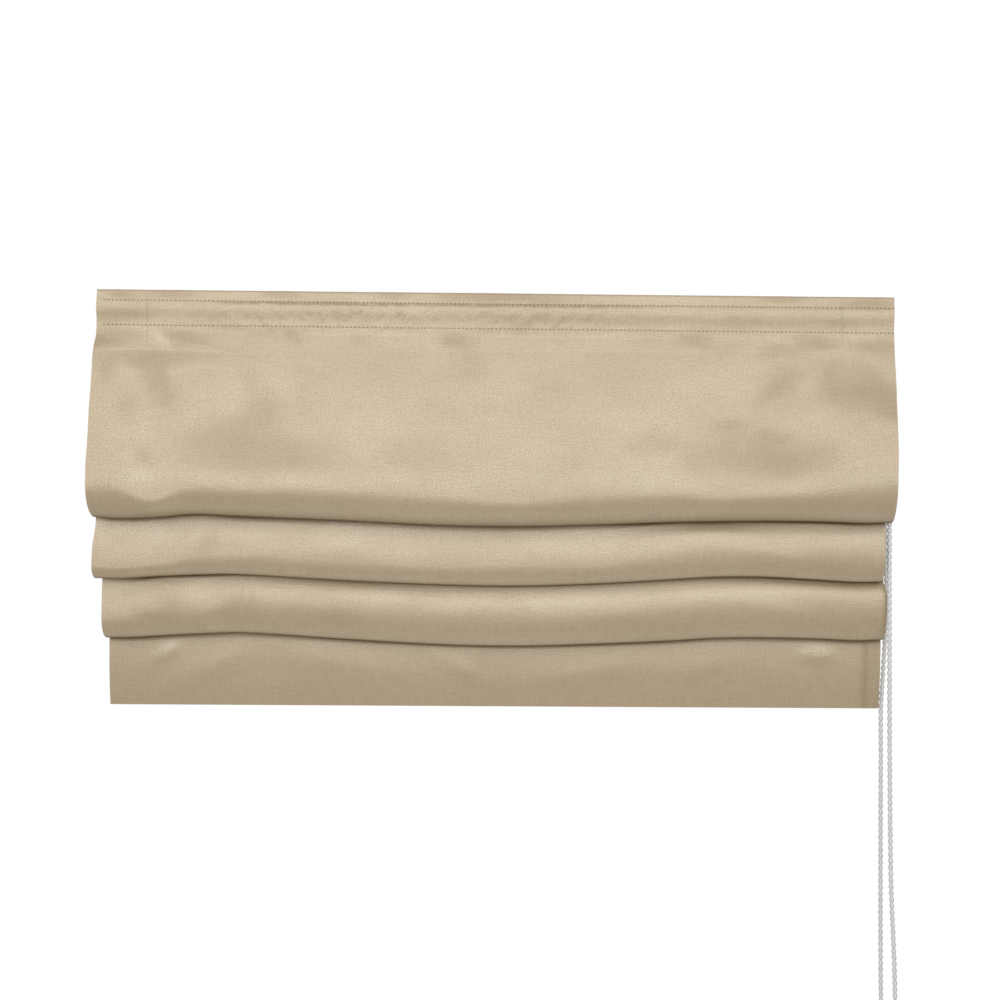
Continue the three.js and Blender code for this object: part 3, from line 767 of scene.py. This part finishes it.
def route_points(count):
    """Evenly spaced points on a smooth curve along the chain's route, and its length, in metres."""
    knots = np.array([
        (row["x"], row["depth"] - WALL_DEPTH * MM, RAIL_HEIGHT / 2 * MM - row["drop"])
        for row in CHAIN_ROUTE
    ])
    first = 2 * knots[0] - knots[1]
    last = 2 * knots[-1] - knots[-2]
    padded = np.vstack((first, knots, last))
    fine = []
    for a, b, c, d in zip(padded, padded[1:], padded[2:], padded[3:]):
        reach = [max(np.linalg.norm(q - p), 1e-9) ** 0.5 for p, q in ((a, b), (b, c), (c, d))]
        leave = ((b - a) / reach[0] - (c - a) / (reach[0] + reach[1]) + (c - b) / reach[1]) * reach[1]
        arrive = ((c - b) / reach[1] - (d - b) / (reach[1] + reach[2]) + (d - c) / reach[2]) * reach[1]
        for t in np.linspace(0, 1, CURVE_STEPS, endpoint=False):
            fine.append(
                (2 * t**3 - 3 * t**2 + 1) * b + (t**3 - 2 * t**2 + t) * leave
                + (3 * t**2 - 2 * t**3) * c + (t**3 - t**2) * arrive
            )
    fine.append(padded[-2])
    fine = np.array(fine)
    reached = np.concatenate(([0], np.cumsum(np.linalg.norm(np.diff(fine, axis=0), axis=1))))
    wanted = np.linspace(0, reached[-1], count)
    spaced = np.stack([np.interp(wanted, reached, fine[:, axis]) for axis in range(3)], -1)
    return spaced, float(reached[-1])


def make_chain(material):
    """Moulded beads on a thin core, all round the loop."""
    centres, length = route_points(BEAD_COUNT)
    core, _ = route_points((BEAD_COUNT - 1) * LINKS_PER_BEAD + 1)
    points, faces = [], []

    def ring(centre, along, radius, sides):
        """Adds a ring of points across the way along, and gives its first number."""
        side = along.cross(Vector((1, 0.2, 0))).normalized()
        other = along.cross(side).normalized()
        first = len(points)
        for corner in range(sides):
            angle = 2 * math.pi * corner / sides
            points.append(centre + (side * math.cos(angle) + other * math.sin(angle)) * radius)
        return first

    def bridge(a, b, sides):
        """Adds the faces between two rings."""
        for corner in range(sides):
            following = (corner + 1) % sides
            faces.append((a + corner, a + following, b + following, b + corner))

    def close_ends(starts, sides):
        """Adds the face at each end of a row of rings."""
        faces.append([starts[0] + corner for corner in reversed(range(sides))])
        faces.append([starts[-1] + corner for corner in range(sides)])

    def way_at(line, index):
        """The way of a line at one of its points."""
        before = line[max(index - 1, 0)]
        after = line[min(index + 1, len(line) - 1)]
        return Vector(after - before).normalized()

    for index, centre in enumerate(centres):
        along = way_at(centres, index)
        starts = []
        for step in range(BEAD_RINGS + 1):
            angle = math.pi * step / BEAD_RINGS
            radius = max(math.sin(angle), BEAD_TIP) ** BEAD_FULLNESS * BEAD_RADIUS
            middle = Vector(centre) - along * math.cos(angle) * BEAD_RADIUS * BEAD_STRETCH
            starts.append(ring(middle, along, radius, BEAD_SIDES))
        for a, b in zip(starts, starts[1:]):
            bridge(a, b, BEAD_SIDES)
        close_ends(starts, BEAD_SIDES)
    starts = []
    for index, at in enumerate(core):
        starts.append(ring(Vector(at), way_at(core, index), LINK_RADIUS, LINK_SIDES))
    for a, b in zip(starts, starts[1:]):
        bridge(a, b, LINK_SIDES)
    close_ends(starts, LINK_SIDES)
    chain = make_piece("beads", points, faces, material)
    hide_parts("bead_chain")
    return chain, length, core


# Materials
class Graph:
    """A material's nodes, added and joined by short calls."""

    def __init__(self, name):
        self.material = bpy.data.materials.new(name)
        self.material.use_nodes = True
        self.tree = self.material.node_tree
        self.shader = self.tree.nodes["Principled BSDF"]

    def node(self, kind, inputs=(), **settings):
        made = self.tree.nodes.new(kind)
        for name, value in settings.items():
            setattr(made, name, value)
        for name, value in dict(inputs).items():
            self.put(made.inputs[name], value)
        return made

    def put(self, socket, value):
        """Links a socket to a value that is a socket, and otherwise sets it."""
        if isinstance(value, bpy.types.NodeSocket):
            self.tree.links.new(value, socket)
        else:
            socket.default_value = value

    def math(self, operation, *values, clamp=False):
        made = self.node("ShaderNodeMath", operation=operation, use_clamp=clamp)
        for socket, value in zip(made.inputs, values):
            self.put(socket, value)
        return made.outputs[0]

    def ramp(self, value, low, high, start=0.0, end=1.0):
        inputs = {"Value": value, "From Min": low, "From Max": high, "To Min": start, "To Max": end}
        return self.node("ShaderNodeMapRange", inputs, interpolation_type="SMOOTHSTEP").outputs[0]

    def noise(self, vector, scale, detail=2.0, roughness=0.5, stretch=(1, 1, 1)):
        spread = self.node("ShaderNodeMapping", {"Vector": vector, "Scale": stretch})
        inputs = {
            "Vector": spread.outputs[0], "Scale": scale, "Detail": detail, "Roughness": roughness,
        }
        return self.node("ShaderNodeTexNoise", inputs).outputs[0]

    def mix(self, factor, first, second):
        made = self.node("ShaderNodeMix", data_type="RGBA")
        self.put(made.inputs[0], factor)
        self.put(made.inputs[6], first)
        self.put(made.inputs[7], second)
        return made.outputs[2]


def satin_material():
    """Beige satin: a soft sheen, fine grain, needle holes, hem lines, and painted shade and
    highlights.
    """
    graph = Graph("beige_satin")
    flat = graph.node("ShaderNodeUVMap", uv_map="flat").outputs[0]
    split = graph.node("ShaderNodeSeparateXYZ", {"Vector": flat})
    across = split.outputs[0]
    down = split.outputs[1]

    def in_mm(value, limits, start=0.0, end=1.0):
        """A ramp between two limits given in millimetres."""
        return graph.ramp(value, limits[0] * MM, limits[1] * MM, start, end)

    painted_light = graph.node("ShaderNodeAttribute", attribute_name="painted_light").outputs["Fac"]
    shade = graph.node("ShaderNodeAttribute", attribute_name="shade").outputs["Fac"]
    grain = graph.noise(flat, 900, 2, 0.6)
    speck = graph.noise(flat, 720, 2, 0.7)
    waves = graph.noise(flat, 13, 3, 0.55, (0.8, 1.5, 1))
    warp = graph.noise(flat, 500, 1, 0.5, (1.6, 0.12, 1))
    weft = graph.noise(flat, 500, 1, 0.5, (0.12, 1.6, 1))
    cloudy = graph.noise(flat, 14, 3, 0.5)

    # Puckers
    puckers = 0.0
    for row in PUCKERS:
        turn = (0, 0, math.radians(row["turn"]))
        slanted = graph.node("ShaderNodeMapping", {"Vector": flat, "Rotation": turn}).outputs[0]
        pucker = graph.noise(slanted, row["scale"], row["detail"], 0.5, (1, row["stretch"], 1))
        puckers = graph.math("ADD", puckers, pucker)
    held = graph.math("MULTIPLY", in_mm(down, PUCKER_TOP), in_mm(across, PUCKER_LEFT))
    held = graph.math("MULTIPLY", held, in_mm(down, PUCKER_BOTTOM, 1.0, 0.0))
    held = graph.math("MULTIPLY", held, in_mm(across, PUCKER_RIGHT, 1.0, PUCKER_RIGHT_SHARE))
    puckers = graph.math("MULTIPLY", puckers, held)

    # Needle holes, one at each end of every stitch
    phase = graph.math("DIVIDE", graph.math("SUBTRACT", across, STITCH_START * MM), STITCH_PITCH * MM)
    from_hole = graph.math("ABSOLUTE", graph.math("SUBTRACT", phase, graph.math("ROUND", phase)))
    from_hole = graph.math("MULTIPLY", from_hole, STITCH_PITCH)
    holes = 0.0
    for line in STITCH_ROWS:
        row_down = graph.math("MULTIPLY_ADD", across, line["fall"], line["middle"] * MM)
        off = graph.math("DIVIDE", graph.math("SUBTRACT", down, row_down), MM)
        reach = graph.math("POWER", off, 2.0)
        reach = graph.math("ADD", reach, graph.math("POWER", from_hole, 2.0))
        hole = graph.ramp(graph.math("SQRT", reach), *HOLE_EDGE, 1.0, 0.0)
        holes = graph.math("ADD", holes, hole, clamp=True)
    inside = graph.math("GREATER_THAN", across, (STITCH_START - 1) * MM)
    holes = graph.math("MULTIPLY", holes, inside)

    # The edges of the side hems, pressed through to the face
    hem = 0.0
    for place_x in HEM_LINES:
        off_hem = graph.math("ABSOLUTE", graph.math("SUBTRACT", across, place_x * MM))
        hem = graph.math("ADD", hem, in_mm(off_hem, HEM_LINE_WIDTH, 1.0, 0.0))
    hem = graph.math("MULTIPLY", hem, in_mm(down, HEM_LINE_TOP))
    hem = graph.math("MULTIPLY", hem, in_mm(down, HEM_LINE_END, 1.0, 0.0))

    # Colour
    threads = graph.math("ADD", graph.math("MULTIPLY", warp, 0.5), graph.math("MULTIPLY", weft, 0.5))
    # The painted marks and the crevice shade darken the colour as painted shade
    causes = dict(
        threads=graph.ramp(threads, 0.35, 0.65), specks=graph.ramp(speck, 0.36, 0.64), painted_light=painted_light,
        hem=hem, holes=holes, shade=shade,
    )
    base = graph.mix(cloudy, *SATIN_PLAIN)
    for row in SATIN_TINTS:
        share = graph.math("MULTIPLY", causes[row["cause"]], row["share"])
        base = graph.mix(share, base, row["color"])
    graph.put(graph.shader.inputs["Base Color"], base)

    # Relief
    parts = dict(grain=grain, warp=warp, weft=weft, holes=holes, puckers=puckers, hem=hem)
    height = 0.0
    for name, share in SATIN_RELIEF.items():
        height = graph.math("MULTIPLY_ADD", parts[name], share, height)
    inputs = {"Height": height, "Strength": 1.0, "Distance": SATIN_RELIEF_HEIGHT}
    bump = graph.node("ShaderNodeBump", inputs)
    graph.put(graph.shader.inputs["Normal"], bump.outputs[0])

    # Sheen
    graph.shader.inputs["Roughness"].default_value = 0.34
    graph.shader.inputs["IOR"].default_value = 2.0
    sheen = graph.ramp(speck, 0.35, 0.65, *SPECK_SHEEN)
    sheen = graph.math("MULTIPLY", sheen, graph.ramp(waves, 0.3, 0.7, *SLOW_SHEEN))
    # The painted marks and the painted shade take sheen away, and a painted highlight adds it
    for cause, loss in ((painted_light, PAINTED_LIGHT_SHEEN_LOSS), (shade, SHADE_SHEEN_LOSS)):
        sheen = graph.math("MULTIPLY", sheen, graph.math("MULTIPLY_ADD", cause, -loss, 1.0))
    graph.put(graph.shader.inputs["Specular IOR Level"], sheen)
    graph.shader.inputs["Specular Tint"].default_value = (1.0, 0.91, 0.76, 1)
    return graph.material


def thread_material():
    """Matt beige thread, a little paler than the satin."""
    graph = Graph("beige_thread")
    inside = graph.node("ShaderNodeTexCoord").outputs["Object"]
    twist = graph.noise(inside, 1500, 1)
    color = graph.mix(twist, (0.46, 0.36, 0.24, 1), (0.58, 0.47, 0.33, 1))
    graph.put(graph.shader.inputs["Base Color"], color)
    graph.shader.inputs["Roughness"].default_value = 0.55
    return graph.material


def bead_material():
    """Clear white moulded plastic, slightly cloudy."""
    graph = Graph("clear_white_plastic")
    inside = graph.node("ShaderNodeTexCoord").outputs["Object"]
    cloud = graph.noise(inside, 300, 2)
    color = graph.mix(cloud, (0.82, 0.81, 0.8, 1), (0.92, 0.915, 0.905, 1))
    graph.put(graph.shader.inputs["Base Color"], color)
    roughness = graph.ramp(cloud, 0.2, 0.8, 0.18, 0.32)
    graph.put(graph.shader.inputs["Roughness"], roughness)
    graph.shader.inputs["IOR"].default_value = 1.49
    graph.shader.inputs["Transmission Weight"].default_value = 0.25
    return graph.material


def painted_material(name, color, roughness, metallic):
    """A plain painted or moulded surface with a faint unevenness."""
    graph = Graph(name)
    inside = graph.node("ShaderNodeTexCoord").outputs["Object"]
    cloud = graph.noise(inside, 40, 3)
    dim = tuple(channel * 0.93 for channel in color[:3]) + (1,)
    graph.put(graph.shader.inputs["Base Color"], graph.mix(cloud, dim, color))
    rough = graph.ramp(cloud, 0.25, 0.75, roughness - 0.06, roughness + 0.06)
    graph.put(graph.shader.inputs["Roughness"], rough)
    graph.shader.inputs["Metallic"].default_value = metallic
    peel = graph.noise(inside, 900, 2)
    bump = graph.node("ShaderNodeBump", {"Height": peel, "Strength": 0.3, "Distance": 0.00005})
    graph.put(graph.shader.inputs["Normal"], bump.outputs[0])
    return graph.material


def paint(name, material):
    """Gives a CAD node its material and slot."""
    node = nodes[name]
    node.data.materials.clear()
    node.data.materials.append(material)


# Light
def make_light(name, azimuth, elevation, distance, width, height, power):
    """A soft white box that faces the shade's middle."""
    light = bpy.data.lights.new(name, "AREA")
    light.shape = "RECTANGLE"
    light.size = width
    light.size_y = height
    light.energy = power
    side = math.radians(azimuth)
    rise = math.radians(elevation)
    middle = place(0, 0, CLOTH_DROP / 2)
    out = Vector((math.sin(side) * math.cos(rise), -math.cos(side) * math.cos(rise), math.sin(rise)))
    holder = bpy.data.objects.new(name, light)
    holder.location = middle + out * distance
    holder.rotation_euler = (-out).to_track_quat("-Z", "Y").to_euler()
    holder.visible_camera = False
    bpy.context.scene.collection.objects.link(holder)


def make_world():
    """White for the camera, and a dimmer white that lights the shade."""
    world = bpy.data.worlds.new("studio")
    world.use_nodes = True
    tree = world.node_tree
    seen = tree.nodes["Background"]
    seen.inputs["Color"].default_value = (1, 1, 1, 1)
    seen.inputs["Strength"].default_value = 1.0
    lighting = tree.nodes.new("ShaderNodeBackground")
    lighting.inputs["Color"].default_value = (1, 1, 1, 1)
    lighting.inputs["Strength"].default_value = AMBIENT
    rays = tree.nodes.new("ShaderNodeLightPath")
    choose = tree.nodes.new("ShaderNodeMixShader")
    tree.links.new(rays.outputs["Is Camera Ray"], choose.inputs[0])
    tree.links.new(lighting.outputs[0], choose.inputs[1])
    tree.links.new(seen.outputs[0], choose.inputs[2])
    tree.links.new(choose.outputs[0], tree.nodes["World Output"].inputs["Surface"])
    bpy.context.scene.world = world
    bpy.context.scene.view_settings.view_transform = "Standard"


def make_floor():
    """A small pale floor below the photo's view."""
    radius = FLOOR["radius"]
    sides = FLOOR["sides"]
    points = []
    for corner in range(sides):
        angle = 2 * math.pi * corner / sides
        points.append((radius * math.cos(angle), radius * math.sin(angle), FLOOR["height"]))
    mesh = bpy.data.meshes.new("floor")
    mesh.from_pydata(points, [], [list(range(sides))])
    mesh.materials.append(painted_material("pale_floor", (0.93, 0.93, 0.93, 1), 0.7, 0))
    floor = bpy.data.objects.new("floor", mesh)
    bpy.context.scene.collection.objects.link(floor)


make_camera()
make_world()
for light_row in LIGHTS:
    make_light(**light_row)
make_floor()

chain, chain_length, chain_line = make_chain(bead_material())

cloth, cloth_length = make_cloth(satin_material())
stitches = make_stitches(thread_material())

white_plastic = painted_material("white_plastic", (0.82, 0.82, 0.8, 1), 0.35, 0)
paint("head_rail", painted_material("white_metal", (0.8, 0.8, 0.78, 1), 0.4, 0.1))
paint("end_cap", white_plastic)
paint("chain_drive", white_plastic)
paint("chain_wheel", white_plastic)
